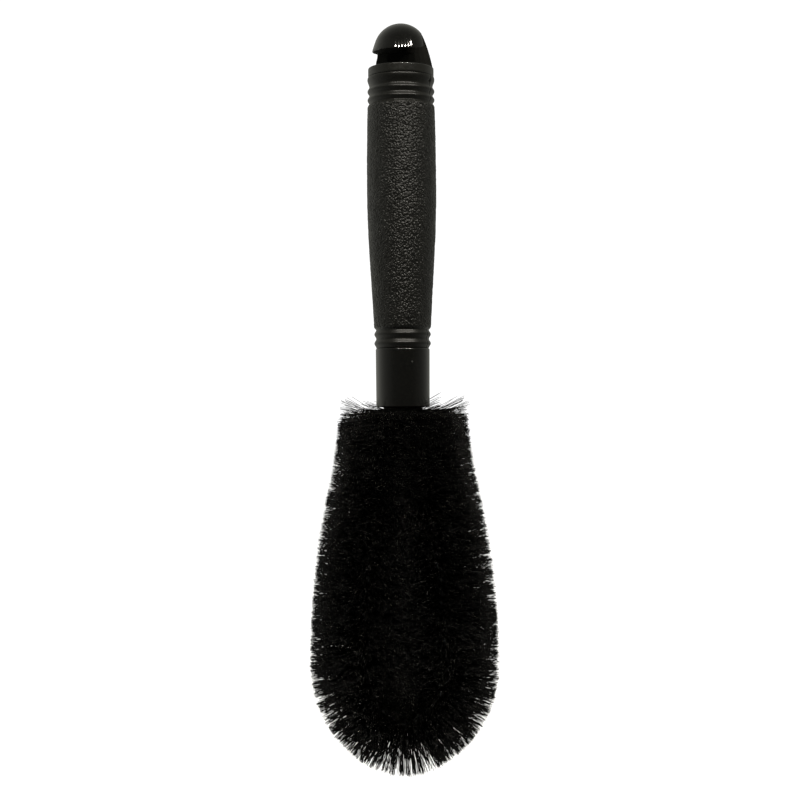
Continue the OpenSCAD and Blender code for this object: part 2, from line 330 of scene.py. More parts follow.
def wrinkle_height(tree, where):
    """Uneven cone-shaped pebbles, from 0 in the creases between them to 1 at their tips."""
    drift = tree.nodes.new("ShaderNodeTexNoise")
    drift.inputs["Scale"].default_value = 1 / WRINKLE_SIZE
    tree.links.new(where, drift.inputs["Vector"])
    warp = tree.nodes.new("ShaderNodeVectorMath")
    warp.operation = "MULTIPLY_ADD"
    warp.inputs[1].default_value = (WRINKLE_DRIFT, WRINKLE_DRIFT, WRINKLE_DRIFT)
    tree.links.new(drift.outputs["Color"], warp.inputs[0])
    tree.links.new(where, warp.inputs[2])
    cells = tree.nodes.new("ShaderNodeTexVoronoi")
    cells.inputs["Scale"].default_value = 1 / WRINKLE_SIZE
    tree.links.new(warp.outputs[0], cells.inputs["Vector"])
    return remap(tree, cells.outputs["Distance"], (0, 1), (1, 0))


def grip_rubber():
    """Black rubber with fine wrinkles that stop at the smooth ribs, a slow bloom of paler tone, and painted
    shade that darkens the creases between the wrinkles.
    """
    material, tree, shader = new_material("grip_rubber", (0.012, 0.012, 0.010), 0.35, ior=1.43)
    where = object_coordinates(tree)
    grained = grained_share(tree, where)
    pebbles = wrinkle_height(tree, where)
    pores = remap(tree, noise_value(tree, where, size=0.3, detail=3, roughness=0.7), (0, 1), (0, 0.06))
    heights = [combined(tree, "MULTIPLY", [height, grained]) for height in (pebbles, pores)]
    bumped(tree, shader, heights, height_mm=WRINKLE_HEIGHT)
    bloom = remap(tree, noise_value(tree, where, size=9, detail=4), (0.3, 0.75), (0, 1))
    # Painted shade: the base colour is darker in the creases between the pebbles than on their crests.
    painted_crease_shade = color_between(tree, bloom, (0.002, 0.002, 0.0016), (0.004, 0.004, 0.0032))
    crest = color_between(tree, bloom, (0.010, 0.010, 0.008), (0.016, 0.016, 0.0128))
    tree.links.new(color_between(tree, pebbles, painted_crease_shade, crest), shader.inputs["Base Color"])
    tree.links.new(remap(tree, grained, (0, 1), (0.34, 0.37)), shader.inputs["Roughness"])
    return material


def dull_plastic(name, dark, light, roughness, ior=1.5):
    """Plain black moulded plastic with a satin surface."""
    material, tree, shader = new_material(name, dark, roughness, ior=ior)
    where = object_coordinates(tree)
    tone = color_between(tree, noise_value(tree, where, size=5), dark, light)
    tree.links.new(tone, shader.inputs["Base Color"])
    spots = noise_value(tree, where, size=1.4)
    spotted = remap(tree, spots, (0.3, 0.7), (roughness - 0.06, roughness + 0.08))
    tree.links.new(spotted, shader.inputs["Roughness"])
    bumped(tree, shader, [noise_value(tree, where, size=0.5)], height_mm=0.02)
    return material


def drawn_steel(name, color, roughness, length_share):
    """Steel with drawing marks along Z, dull spots and small changes of tone."""
    material, tree, shader = new_material(name, color, roughness, metallic=1.0)
    where = object_coordinates(tree)
    dull = noise_value(tree, where, size=1.6, detail=4)
    dark = tuple(c * 0.55 for c in color)
    tone = color_between(tree, remap(tree, dull, (0.35, 0.65), (0, 1)), dark, color)
    tree.links.new(tone, shader.inputs["Base Color"])
    spotted = remap(tree, dull, (0.3, 0.7), (roughness + 0.15, roughness - 0.08))
    tree.links.new(spotted, shader.inputs["Roughness"])
    marks = noise_value(tree, object_coordinates(tree, (8, 8, length_share)), size=1)
    bumped(tree, shader, [marks], height_mm=0.015)
    return material


def bristle_plastic(name, dark, light, size, spread, roughness, ior=1.5):
    """Black polypropylene filament, whose tone changes over a size in millimetres, with a few pale specks
    painted in as glints.
    """
    material, tree, shader = new_material(name, dark, roughness, ior=ior)
    where = object_coordinates(tree)
    clump = remap(tree, noise_value(tree, where, size, detail=2), spread, (0, 1))
    color = color_between(tree, clump, dark, light)
    # Painted highlights: rare pale specks in the base colour stand in for glints on the filaments.
    painted_glints = remap(tree, noise_value(tree, where, size=0.5, detail=1), (0.745, 0.775), (0, 1))
    tree.links.new(color_between(tree, painted_glints, color, (0.5, 0.48, 0.4)), shader.inputs["Base Color"])
    return material


GLOSS = gloss_plastic()
RUBBER = grip_rubber()
# Dull plastic for the inside of the cap; on the stem socket its darker tone is painted shade.
HOLLOW_AND_SHADE = dull_plastic("unpolished_plastic", (0.008, 0.008, 0.0065), (0.014, 0.014, 0.011), 0.7, ior=1.25)
SATIN = dull_plastic("satin_black_plastic", (0.007, 0.007, 0.0055), (0.014, 0.014, 0.011), 0.36)
CORE = dull_plastic("core_plastic", (0.016, 0.016, 0.016), (0.028, 0.028, 0.027), 0.42)
WIRE = drawn_steel("galvanised_wire", (0.55, 0.55, 0.56), 0.32, length_share=1.0)
FERRULE = drawn_steel("crimped_tube", (0.48, 0.48, 0.49), 0.4, length_share=0.5)
PIN = drawn_steel("blackened_pin", (0.35, 0.35, 0.34), 0.3, length_share=0.5)
BRISTLE = bristle_plastic(
    "black_filament", (0.0012, 0.0012, 0.0009), (0.0024, 0.0024, 0.0018),
    size=4, spread=(0.35, 0.65), roughness=0.24, ior=1.3)
# Painted highlights: the cut ends of the filaments are painted pale in patches, standing in for glints off
# the tips.
BRISTLE_END_GLINTS = bristle_plastic(
    "cut_filament_end", (0.012, 0.011, 0.008), (0.5, 0.48, 0.4),
    size=0.45, spread=(0.6, 0.72), roughness=0.35)


# ---------------------------------------------------------------- hook cap


CAP_CROWN_R = 10.8
CAP_WALL = 2.1
CAP_FLANK_R = 66.0
CAP_FLANK_ANGLE = math.radians(20)
CAP_BASE_H = 3.7
CAP_BASE_EDGE = 0.35
CAP_BASE_STEP = 0.6
CAP_SLOT_H = 6.6
CAP_LIP_TILT = math.radians(4)
CAP_LIP_SLOPE = math.radians(23)
CAP_LIP_RISE = 0.85
CAP_SEAT_R = 3.3
CAP_SEAT_DROP = 1.8
CAP_SEAT_REACH = 6.7
CAP_SPINE_Y = 1.6
CAP_SLOT_LEFT = math.radians(34)
CAP_PLUG_R = 8.8
CAP_PLUG_WALL = 2.0
CAP_SIDES = 192
CAP_GRID = 0.27
EDGE_SMOOTHING = 5
CUTTER_REACH = 40.0
CUT_OVERLAP = 0.013   # keeps the faces of the cutters off the faces they cut

# A point belongs to the outer skin if it is this near the outline and faces out of it.
SKIN_GAP = 0.2
SKIN_FACING = 0.985
SKIN_START = 0.3
HOLLOW_DEPTH = 0.45
HOLLOW_START = 0.1

cap_bottom = grip_high[2]
cap_floor = cap_bottom + CAP_BASE_H
cap_rim = cap_floor + CAP_SLOT_H
crown_z = cap_high[2] - CAP_CROWN_R
flank_x = (CAP_CROWN_R - CAP_FLANK_R) * math.cos(CAP_FLANK_ANGLE)
flank_z = crown_z + (CAP_CROWN_R - CAP_FLANK_R) * math.sin(CAP_FLANK_ANGLE)


def cap_outline(inset, steps=48):
    """Outline of the cap from its crown to the slot floor, moved inwards by an inset."""
    end = math.asin((cap_floor - flank_z) / CAP_FLANK_R)
    crown = np.linspace(math.pi / 2, CAP_FLANK_ANGLE, steps, endpoint=False)
    flank = np.linspace(CAP_FLANK_ANGLE, end, steps)
    r = CAP_CROWN_R - inset
    f = CAP_FLANK_R - inset
    points = [(r * math.cos(a), crown_z + r * math.sin(a)) for a in crown]
    return points + [(flank_x + f * math.cos(a), flank_z + f * math.sin(a)) for a in flank]


def outline_circle(z):
    """Centre and radius of the circle that the cap's outline follows at each height."""
    crown = z > crown_z + CAP_CROWN_R * math.sin(CAP_FLANK_ANGLE)
    center = np.stack([np.where(crown, 0.0, flank_x), np.where(crown, crown_z, flank_z)], axis=1)
    return center, np.where(crown, CAP_CROWN_R, CAP_FLANK_R)


def prism(outline, axis, start, end):
    """A cutter with a flat outline in two axes, drawn along the third one."""
    count = len(outline)
    points = [np.insert(p, axis, start) for p in outline] + [np.insert(p, axis, end) for p in outline]
    faces = [tuple(range(count)), tuple(range(2 * count - 1, count - 1, -1))]
    for i in range(count):
        k = (i + 1) % count
        faces.append((i, count + i, count + k, k))
    mesh = bpy.data.meshes.new("cutter")
    mesh.from_pydata((np.array(points) * MM).tolist(), [], faces)
    cutter = bpy.data.objects.new("cutter", mesh)
    weld(cutter)
    bpy.context.scene.collection.objects.link(cutter)
    return cutter


def front_slot_cutter():
    """The slot across the front, with a level floor and a top that rises towards the back."""
    far = CUTTER_REACH
    near = CAP_CROWN_R / 2
    rise = math.tan(CAP_SLOT_LEFT)
    outline = [(near, CAP_SPINE_Y), (far, CAP_SPINE_Y), (far, -far), (-far, -far), (-far, far * rise),
               (-near, near * rise)]
    cutter = prism(outline, 2, cap_floor - CUT_OVERLAP, cap_rim)
    for vertex in cutter.data.vertices[len(outline):]:
        vertex.co.z += vertex.co.y * math.tan(CAP_LIP_TILT)
    return cutter


def hook_slot_cutter():
    """The slot that climbs under the hood on the right and ends in a round seat."""
    spine_y = CAP_SPINE_Y - CUT_OVERLAP
    seat_y = spine_y - CAP_SEAT_R
    seat_z = -CAP_SEAT_DROP - CAP_SEAT_R
    middle = (cap_rim + cap_floor) / 2
    corner_z = cap_rim + CAP_LIP_RISE
    seat = np.linspace(0, math.pi, 24)
    arch = [(seat_y + CAP_SEAT_R * math.cos(a), seat_z + CAP_SEAT_R * math.sin(a)) for a in seat]
    lip_foot = -CAP_SEAT_REACH - (corner_z - middle) / math.tan(CAP_LIP_SLOPE)
    lip = [(-CAP_SEAT_REACH, corner_z), (lip_foot, middle)]
    return prism([(spine_y, middle)] + arch + lip, 0, CUT_OVERLAP, CUTTER_REACH)


def with_modifiers(obj):
    """Replaces an object's mesh by the result of its modifiers."""
    graph = bpy.context.evaluated_depsgraph_get()
    mesh = bpy.data.meshes.new_from_object(obj.evaluated_get(graph), depsgraph=graph)
    obj.modifiers.clear()
    obj.data = mesh
    return mesh


def settle_on_outline(mesh):
    """Moves the cap's smooth outer skin exactly onto its outline, so that reflections run true."""
    where = coordinates(mesh.vertices, "co") / MM
    normals = coordinates(mesh.vertices, "normal")
    radius = np.hypot(where[:, 0], where[:, 1])
    center, size = outline_circle(where[:, 2])
    out = np.stack([radius, where[:, 2]], axis=1) - center
    length = np.linalg.norm(out, axis=1)
    out /= length[:, None]
    gap = size - length
    radial = where[:, :2] / np.maximum(radius, 1e-6)[:, None]
    facing = (normals[:, :2] * radial).sum(1) * out[:, 0] + normals[:, 2] * out[:, 1]
    skin = (np.abs(gap) < SKIN_GAP) & (facing > SKIN_FACING) & (where[:, 2] > cap_floor + SKIN_START)
    shift = np.where(skin, gap, 0.0)
    where[:, :2] += (shift * out[:, 0])[:, None] * radial
    where[:, 2] += shift * out[:, 1]
    mesh.vertices.foreach_set("co", (where * MM).ravel())
    mesh.update()


def finish_cap_faces(mesh):
    """Leaves the outer skin glossy, and makes the hollow inside dull and the base ring satin."""
    mesh.polygons.foreach_set("use_smooth", [True] * len(mesh.polygons))
    mesh.materials.append(HOLLOW_AND_SHADE)
    mesh.materials.append(SATIN)
    where = coordinates(mesh.polygons, "center") / MM
    z = where[:, 2]
    center, size = outline_circle(z)
    out = np.stack([np.hypot(where[:, 0], where[:, 1]), z], axis=1) - center
    sunk = size - np.linalg.norm(out, axis=1)
    index = np.zeros(len(z), np.int32)
    index[(z > cap_floor - HOLLOW_START) & (sunk > HOLLOW_DEPTH)] = 1
    index[(z > cap_bottom) & (z < cap_floor - CAP_BASE_EDGE)] = 2
    mesh.polygons.foreach_set("material_index", index)


def make_hook_cap():
    """Turned blank, cut by the two slots and remeshed finely, which rounds every edge slightly."""
    base_r = cap_high[0]
    base = [(base_r, cap_floor - CAP_BASE_STEP), (base_r, cap_bottom + CAP_BASE_EDGE),
            (base_r - CAP_BASE_EDGE, cap_bottom)]
    bore_r = CAP_PLUG_R - CAP_PLUG_WALL
    plug = [(CAP_PLUG_R, cap_bottom), (CAP_PLUG_R, cap_low[2]), (bore_r, cap_low[2]), (bore_r, cap_bottom),
            (0, cap_bottom), (0, cap_floor)]
    points, faces = turned(cap_outline(0) + base + plug + cap_outline(CAP_WALL)[::-1], CAP_SIDES)
    obj = add_object("hook_cap_body", points, faces, GLOSS, ("hook_cap",))
    weld(obj)
    cutters = [front_slot_cutter(), hook_slot_cutter()]
    for cutter in cutters:
        cut = obj.modifiers.new("cut", "BOOLEAN")
        cut.operation = "DIFFERENCE"
        cut.solver = "EXACT"
        cut.object = cutter
    remesh = obj.modifiers.new("remesh", "REMESH")
    remesh.mode = "VOXEL"
    remesh.voxel_size = CAP_GRID * MM
    smooth = obj.modifiers.new("round_edges", "SMOOTH")
    smooth.factor = 0.5
    smooth.iterations = EDGE_SMOOTHING
    mesh = with_modifiers(obj)
    settle_on_outline(mesh)
    finish_cap_faces(mesh)
    for cutter in cutters:
        bpy.data.objects.remove(cutter)


make_hook_cap()


# ---------------------------------------------------------------- collar and its pin


COLLAR_BORE_R = 8.9
COLLAR_LIP_R = 7.9
COLLAR_LIP_H = 1.5
COLLAR_DRAFT = 0.12
COLLAR_RIM_R = 0.2
COLLAR_BOTTOM_RIM_R = 0.5
COLLAR_STEPS = [(0, 0.75, 0.5), (0.08, 0.5, 1.3), (0.24, 0.27, 0.25), (0.5, 0, 0.15)]   # in, down, rounding
COLLAR_SKIN = 0.8
COLLAR_WAVE = 0.05
COLLAR_WAVE_SCALE = (0.16, 0.16, 0.1)
COLLAR_SIDES = 300
RIM_STEPS = 9
PIN_LEN = 7.5
PIN_ROUNDING = 0.45
PIN_SIDES = 40


def collar_profile():
    """Closed outline of the sleeve; its top rim falls away in two slanting steps, which catch the lamps."""
    bottom, top = collar_low[2], collar_high[2]
    radius = collar_high[0]
    corners_and_radii = [
        ((COLLAR_LIP_R, bottom), COLLAR_RIM_R),
        ((radius - COLLAR_DRAFT, bottom), COLLAR_BOTTOM_RIM_R),
        *[((radius - inset, top - drop), rounding) for inset, drop, rounding in COLLAR_STEPS],
        ((COLLAR_BORE_R, top), COLLAR_RIM_R),
        ((COLLAR_BORE_R, bottom + COLLAR_LIP_H), COLLAR_RIM_R),
        ((COLLAR_LIP_R, bottom + COLLAR_LIP_H), COLLAR_RIM_R)]
    corners, radii = zip(*corners_and_radii)
    return rounded(corners, radii, RIM_STEPS)


def make_collar():
    """Glossy sleeve with a slight draft and rounded rims, which are a little uneven, as moulded rims are."""
    points, faces = turned(collar_profile(), COLLAR_SIDES)
    radii = np.hypot(points[:, 0], points[:, 1])
    for i in np.flatnonzero(radii > collar_high[0] - COLLAR_SKIN):
        wave = noise.noise(Vector(points[i] * COLLAR_WAVE_SCALE))
        points[i, :2] *= 1 + COLLAR_WAVE * wave / radii[i]
    add_object("collar_sleeve", points, faces, GLOSS, ("collar",))


def make_pin():
    """Pin with a domed end, whose tip comes out flush with the collar."""
    pin_angle = math.atan2(pin_low[1], pin_high[0])
    pin_z = (pin_low[2] + pin_high[2]) / 2
    radius = (pin_high[2] - pin_low[2]) / 2
    tip = collar_high[0]
    inner = math.hypot(pin_high[0], pin_low[1]) - PIN_LEN
    profile = [(0, tip)]
    for a in np.linspace(0, math.pi / 2, 8)[1:]:
        profile.append((radius * math.sin(a), tip - PIN_ROUNDING * (1 - math.cos(a))))
    profile += [(radius, inner), (0, inner)]
    points, faces = turned(profile, PIN_SIDES)
    out = np.array([math.cos(pin_angle), math.sin(pin_angle), 0.0])
    side = np.array([-math.sin(pin_angle), math.cos(pin_angle), 0.0])
    up = np.array([0.0, 0.0, 1.0])
    placed = pin_z * up + points[:, :1] * side + points[:, 1:2] * up + points[:, 2:] * out
    weld(add_object("lock_pin_end", placed, faces, PIN, ("lock_pin",)))


make_collar()
make_pin()


# ---------------------------------------------------------------- grip


def grip_radius(depth):
    """Radius of the grip without its ribs, at a depth below its top."""
    top = GRIP_SWELL_R - GRIP_TOP_FALL * np.clip(1 - depth / GRIP_SWELL_DEPTH, 0, 1) ** 2
    share = np.clip((depth - GRIP_SWELL_DEPTH) / (grip_len * GRIP_WAIST_SHARE), 0, 1)
    return top - GRIP_WAIST_FALL / 2 * (1 - np.cos(math.pi * share))


def rib_profile(start, pitch, top_r, first_share=0.0):
    """Radius and depth along a wave-shaped rib, from a share of the way along it to its end."""
    t = np.linspace(first_share, 1, RIB_ROWS, endpoint=False)
    return np.stack([top_r - GROOVE_DEPTH * (1 + np.cos(2 * math.pi * t)) / 2, start + pitch * t], axis=1)


def grained_profile():
    """Radius and depth along the grained part, which dips into a groove at both of its shoulders."""
    depth = np.linspace(grain_start, grain_end, GRIP_ROWS)
    edge = np.minimum(depth - grain_start, grain_end - depth) / SHOULDER
    sink = GROOVE_DEPTH * (1 - np.sin(math.pi / 2 * np.clip(edge, 0, 1)))
    return np.stack([grip_radius(depth) - sink, depth], axis=1)


def grip_profile():
    """Closed outline of the sleeve, from its top edge down the outside and up the bore."""
    first_pitch = FIRST_GROOVE / FIRST_RIB_SHARE
    top = rib_profile(FIRST_GROOVE - first_pitch, first_pitch, RIB_R, 1 - FIRST_RIB_SHARE)
    corner = top[0] - [TOP_EDGE_R, 0]
    top[0, 1] += TOP_EDGE_R / 2
    bore_depth = np.linspace(grip_len, 0, BORE_ROWS)
    bore = np.stack([grip_radius(bore_depth) - GRIP_WALL, bore_depth], axis=1)
    return np.concatenate([
        [corner], top,
        rib_profile(FIRST_GROOVE, UPPER_RIB_PITCH, RIB_R),
        rib_profile(FIRST_GROOVE + UPPER_RIB_PITCH, UPPER_RIB_PITCH, RIB_R),
        grained_profile()[:-1],
        rib_profile(grain_end, LOWER_RIB_PITCH, LOWER_RIB_R),
        rib_profile(grain_end + LOWER_RIB_PITCH, LOWER_RIB_PITCH, LOWER_RIB_R),
        [[LOWER_RIB_R - GROOVE_DEPTH, grip_len]],
        bore])


def grain_height(place):
    """Leather grain from 0 to about 1: raised pebbles of uneven size, with creases between them."""
    slow = place * 0.5
    drift = Vector((noise.noise(slow), noise.noise(slow + Vector((7, 3, 1))), 0)) * GRAIN_DRIFT
    size = GRAIN_SIZE * (1 + GRAIN_SIZE_SPREAD * noise.noise(place * 0.12))
    nearest, second = noise.voronoi((place + drift) / size)[0][:2]
    pebble = min(1.0, (second - nearest) * GRAIN_STEEPNESS)
    return pebble * (2 - pebble) * (0.8 + 0.4 * noise.noise(place * 0.35))


def add_grain(grid, outline):
    """Lifts the rows of points between the ribs by the leather grain, which fades out at each shoulder."""
    for row, (radius, z) in zip(grid[:-BORE_ROWS], outline):
        fade = min(1.0, min(grain_top_z - z, z - grain_low_z) / SHOULDER)
        if fade <= 0:
            continue
        for point in row:
            lift = GRAIN_DEPTH * fade * (grain_height(Vector(point)) - GRAIN_MIDDLE)
            point[:2] *= 1 + lift / radius


def add_parting_line(grid, outline):
    """Cuts a narrow notch along both sides of the smooth ribs, where the halves of the mould met."""
    angles = np.arctan2(grid[:, :, 0], -grid[:, :, 1])
    off = np.abs((angles - PARTING_ANGLE + math.pi / 2) % math.pi - math.pi / 2)
    ribbed = (outline[:, 1] >= grain_top_z) | (outline[:, 1] <= grain_low_z)
    ribbed[-BORE_ROWS:] = False
    notch = np.where(ribbed[:, None], np.clip(1 - off / PARTING_WIDTH, 0, 1) * PARTING_DEPTH, 0)
    grid[:, :, :2] *= (1 - notch / outline[:, 0, None])[:, :, None]


def make_grip():
    """One soft sleeve with its ribs, a modelled leather grain and the mark where its mould parted."""
    outline = grip_profile()
    outline[:, 1] = grip_high[2] - outline[:, 1]
    points, faces = turned(outline, GRIP_COLUMNS)
    grid = points.reshape(len(outline), GRIP_COLUMNS, 3)
    add_grain(grid, outline)
    add_parting_line(grid, outline)
    notch = [RIB_R * math.sin(PARTING_ANGLE), -RIB_R * math.cos(PARTING_ANGLE),
             grip_high[2] - NOTCH_DEPTH_BELOW_TOP]
    dimpled(points, np.array(notch), NOTCH_R, NOTCH_SINK)
    add_object("grip_skin", points, faces, RUBBER, ("grip_sleeve",))


make_grip()


# ---------------------------------------------------------------- stem


# As in the CAD model.
LEG_OFFSET = 4.8
BARE_LEN = 1.8
STEM_END_LEN = 18.0
SPLAY_ANGLE = math.radians(13)
SPLAY_BEND_R = 142.0
SIDE_BEND_R = 310.0
TIP_BEND_R = 7.0
TWIST_PITCH = 10.0
WIRE_R = 1.0
WIRE_OFFSET = 1.1
BRISTLE_R = 21.5

STEM_STEP = 0.05
WIRE_SIDES = 10
RINGS_PER_TWIST = 16


def stem_bends():
    """Distances along half the stem at which its bends end, and the heading there below the X axis."""
    bend_z = collar_low[2] - BARE_LEN
    side_x = LEG_OFFSET + (SPLAY_BEND_R + SIDE_BEND_R) * (1 - math.cos(SPLAY_ANGLE))
    side_z = bend_z - (SPLAY_BEND_R + SIDE_BEND_R) * math.sin(SPLAY_ANGLE)
    drop = side_z - bristle_low[2] - BRISTLE_R - TIP_BEND_R
    turn_r = (side_x ** 2 + drop ** 2 - TIP_BEND_R ** 2) / (2 * (side_x - TIP_BEND_R))
    turn = math.asin(drop / (turn_r - TIP_BEND_R))
    down = math.pi / 2
    lengths = [STEM_END_LEN + BARE_LEN, SPLAY_BEND_R * SPLAY_ANGLE, SIDE_BEND_R * SPLAY_ANGLE, turn_r * turn,
               TIP_BEND_R * (down - turn)]
    headings = [down, down, down - SPLAY_ANGLE, down, down + turn, math.pi]
    return np.concatenate([[0], np.cumsum(lengths)]), np.array(headings)


stem_ends, stem_headings = stem_bends()
stem_half = stem_ends[-1]
stem_s = np.linspace(0, stem_half, round(stem_half / STEM_STEP))
stem_h = np.interp(stem_s, stem_ends, stem_headings)


def running_integral(values):
    """Running integral of the values along half the stem."""
    steps = (values[1:] + values[:-1]) / 2 * (stem_s[1] - stem_s[0])
    return np.concatenate([[0], np.cumsum(steps)])


stem_x = LEG_OFFSET + running_integral(np.cos(stem_h))
stem_z = collar_low[2] + STEM_END_LEN - running_integral(np.sin(stem_h))


def half_stem(s):
    """Point, direction and outward normal of the right half of the stem at distances s from its top end."""
    h = np.interp(s, stem_s, stem_h)
    zero = np.zeros_like(h)
    point = np.stack([np.interp(s, stem_s, stem_x), zero, np.interp(s, stem_s, stem_z)], axis=1)
    ahead = np.stack([np.cos(h), zero, -np.sin(h)], axis=1)
    outward = np.stack([np.sin(h), zero, np.cos(h)], axis=1)
    return point, ahead, outward


def whole_stem(s):
    """Point and outward normal of the whole stem, down the right leg and up the left one."""
    point, _, outward = half_stem(np.minimum(s, 2 * stem_half - s))
    mirror = np.where(s > stem_half, -1.0, 1.0)
    point[:, 0] *= mirror
    outward[:, 0] *= mirror
    return point, outward


def make_strand(name, node, phase):
    """One of the two twisted wires, swept as a round tube."""
    rings = round(2 * stem_half / TWIST_PITCH * RINGS_PER_TWIST)
    s = np.linspace(0, 2 * stem_half, rings)
    center, outward = whole_stem(s)
    depth = np.array([0.0, 1.0, 0.0])
    twist = 2 * math.pi * s / TWIST_PITCH + phase
    points = np.zeros((rings, WIRE_SIDES, 3))
    for k in range(WIRE_SIDES):
        corner = 2 * math.pi * k / WIRE_SIDES
        out = WIRE_OFFSET * np.cos(twist) + WIRE_R * math.cos(corner)
        back = WIRE_OFFSET * np.sin(twist) + WIRE_R * math.sin(corner)
        points[:, k] = center + out[:, None] * outward + back[:, None] * depth
    faces = grid_faces(rings, WIRE_SIDES)
    faces.append(tuple(range(WIRE_SIDES)))
    faces.append(tuple(range(rings * WIRE_SIDES - 1, (rings - 1) * WIRE_SIDES - 1, -1)))
    add_object(name, points.reshape(-1, 3), faces, WIRE, (node,))


make_strand("wire_a", "strand_a", 0.0)
make_strand("wire_b", "strand_b", math.pi)


# ---------------------------------------------------------------- bristles


FILAMENT_R = 0.1
FILAMENT_SIDES = 3
FILAMENT_RINGS = np.array([0.0, 0.55, 1.0])
FILAMENT_TAPER = np.array([1.0, 1.0, 0.9])
FILAMENTS_PER_MM = 225
ROOT_GAP = 0.15
LENGTH_MEAN = 21.25
LENGTH_SPREAD = 0.42
LENGTH_MOST = 21.95
BEND_SPREAD = 0.5

# Half of the filaments lie in tufts, and the rest stand on their own.
TUFT_SIZE = 9
TUFT_REACH = 0.4
TUFT_TURN = math.radians(55)
TUFT_LEAN = math.radians(4)
WITHIN_TUFT_TURN = math.radians(3.4)
WITHIN_TUFT_LEAN = math.radians(2)
LOOSE_SHARE = 0.5
LOOSE_TURN = math.radians(60)
LOOSE_LEAN = math.radians(6)

# The topmost filaments are a little shorter and lean down, on the left more than on the right.
CROWN_LEN = 9.0
CROWN_LEAN_LEFT = math.radians(11)
CROWN_LEAN_RIGHT = math.radians(4)
CROWN_LEAN_SPREAD = 0.35
CROWN_CUT = 0.8

# A few near the top stick out sideways and curl up.
STRAY_LEN = 2.6
STRAY_SHARE = 0.28
STRAY_SIDEWAYS = 0.8
STRAY_LEAN = math.radians(6)
STRAY_BEND = (2.0, 7.0)
STRAY_BEND_TURN = 0.3

# Others fill the neck in front of and behind the bare stem.
NECK_LEN = 1.0
NECK_FILAMENTS = 340
NECK_TURN = math.radians(30)
NECK_LEAN = (math.radians(1), math.radians(9))

splay_start, splay_end, side_end, turn_end, tip_end = stem_ends[1:]
stretch_ends = [splay_start, splay_start + (splay_end - splay_start) / 2, splay_end,
                splay_end + (side_end - splay_end) / 2, side_end, turn_end, tip_end]


def filament_mesh(root, way, side, length, bend, bend_angle):
    """Points and faces of thin bent rods, one for each row given; the faces at the tips come last."""
    across = side - (side * way).sum(1, keepdims=True) * way
    across /= np.linalg.norm(across, axis=1, keepdims=True)
    other = np.cross(way, across)
    bend_way = np.cos(bend_angle)[:, None] * across + np.sin(bend_angle)[:, None] * other
    count, rings = len(root), len(FILAMENT_RINGS)
    points = np.zeros((count, rings, FILAMENT_SIDES, 3))
    for i, (share, taper) in enumerate(zip(FILAMENT_RINGS, FILAMENT_TAPER)):
        middle = root + way * (length * share)[:, None] + bend_way * (bend * share ** 2)[:, None]
        for k in range(FILAMENT_SIDES):
            a = 2 * math.pi * k / FILAMENT_SIDES
            points[:, i, k] = middle + FILAMENT_R * taper * (math.cos(a) * across + math.sin(a) * other)
    each = rings * FILAMENT_SIDES
    first = np.arange(count)[:, None] * each
    walls = (np.array(grid_faces(rings, FILAMENT_SIDES))[None] + first[:, :, None]).reshape(-1, 4)
    root_caps = np.arange(FILAMENT_SIDES)[None] + first
    tip_caps = (each - 1 - np.arange(FILAMENT_SIDES))[None] + first
    return points.reshape(-1, 3), walls.tolist() + root_caps.tolist() + tip_caps.tolist()


def between_wires(s, count):
    """The angle round the stem at which a filament comes out between the wires, on one side or the other."""
    return 2 * math.pi * s / TWIST_PITCH + math.pi / 2 + rng.integers(0, 2, count) * math.pi


def bristle_rows(start, end):
    """Where each filament leaves the stem, and which way it points round the stem and along it."""
    total = round((end - start) * FILAMENTS_PER_MM)
    loose = round(total * LOOSE_SHARE)
    tufts = (total - loose) // TUFT_SIZE
    tufted = tufts * TUFT_SIZE
    s = rng.uniform(start, end, tufts)
    angle = between_wires(s, tufts) + rng.normal(0, TUFT_TURN, tufts)
    lean = rng.normal(0, TUFT_LEAN, tufts)
    s = np.repeat(s, TUFT_SIZE) + rng.normal(0, TUFT_REACH, tufted)
    angle = np.repeat(angle, TUFT_SIZE) + rng.normal(0, WITHIN_TUFT_TURN, tufted)
    lean = np.repeat(lean, TUFT_SIZE) + rng.normal(0, WITHIN_TUFT_LEAN, tufted)
    loose_s = rng.uniform(start, end, loose)
    loose_angle = between_wires(loose_s, loose) + rng.normal(0, LOOSE_TURN, loose)
    loose_lean = rng.normal(0, LOOSE_LEAN, loose)
    s = np.clip(np.concatenate([s, loose_s]), start, end)
    return s, np.concatenate([angle, loose_angle]), np.concatenate([lean, loose_lean])


def neck_rows(start):
    """The same for the filaments above the first stretch, in front of the stem and behind it."""
    s = start - rng.uniform(0, NECK_LEN, NECK_FILAMENTS)
    front_or_back = rng.integers(0, 2, NECK_FILAMENTS) * math.pi + math.pi / 2
    angle = front_or_back + rng.normal(0, NECK_TURN, NECK_FILAMENTS)
    return s, angle, rng.uniform(*NECK_LEAN, NECK_FILAMENTS)


